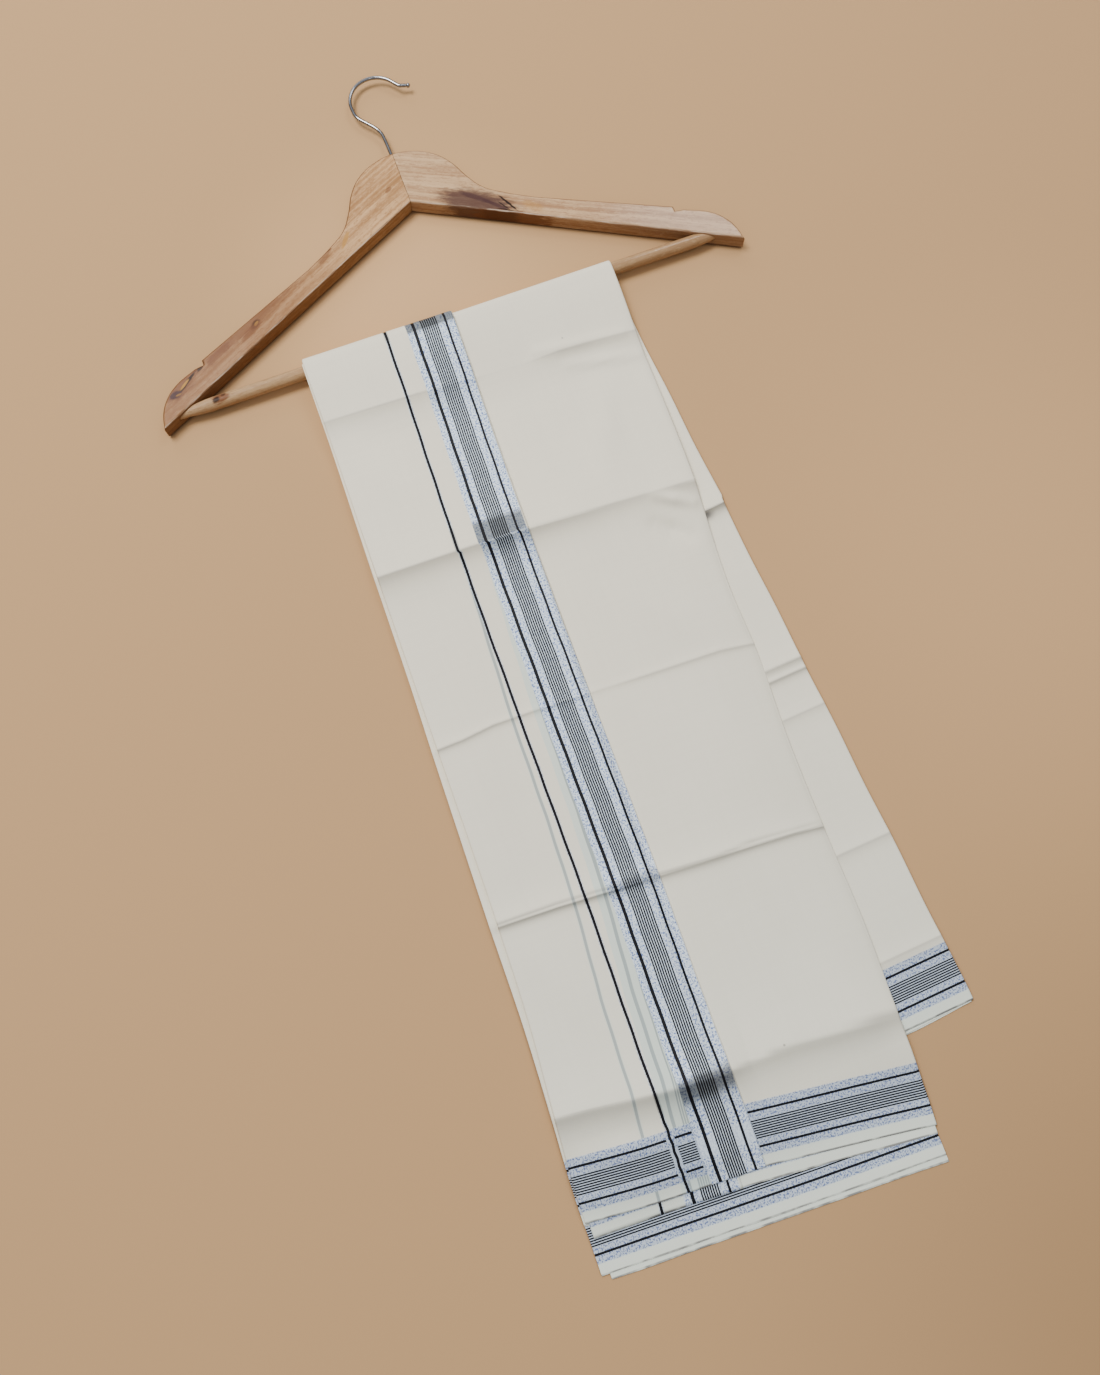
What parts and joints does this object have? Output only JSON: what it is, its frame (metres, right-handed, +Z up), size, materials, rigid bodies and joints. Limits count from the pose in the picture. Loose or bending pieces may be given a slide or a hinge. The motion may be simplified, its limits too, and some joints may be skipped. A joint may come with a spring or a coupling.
{
  "type": "dhoti cloth on a wooden hanger",
  "caption": "Dhoti cloth folded lengthwise into a narrow panel and hung over the bar of a wooden clothes hanger, lying flat.",
  "frame": {"origin": "under the middle of the part's bounding box, on the surface it lies on", "axes": "+X along the hanger's bar, to the right seen from above with the hook at the far end; +Y from the cloth's hem to the hook; +Z up, out of the surface the part lies on"},
  "size_m": [0.45, 0.8802, 0.0179],
  "materials": {
    "cloth": "off-white cotton with silver zari and black lines at its borders",
    "wood": "clear varnish on light wood",
    "hook": "bright chromed wire"
  },
  "bodies": {
    "root": {"front_top_leaf": "cloth", "front_second_leaf": "cloth", "front_third_leaf": "cloth", "front_hidden_leaves": "cloth", "bar_fold": "cloth", "back_top_leaf": "cloth", "back_hidden_leaves": "cloth", "hanger_wood_left": "wood", "hanger_wood_right": "wood", "hanger_bar": "wood", "hanger_hook": "hook"}
  },
  "joints": []
}
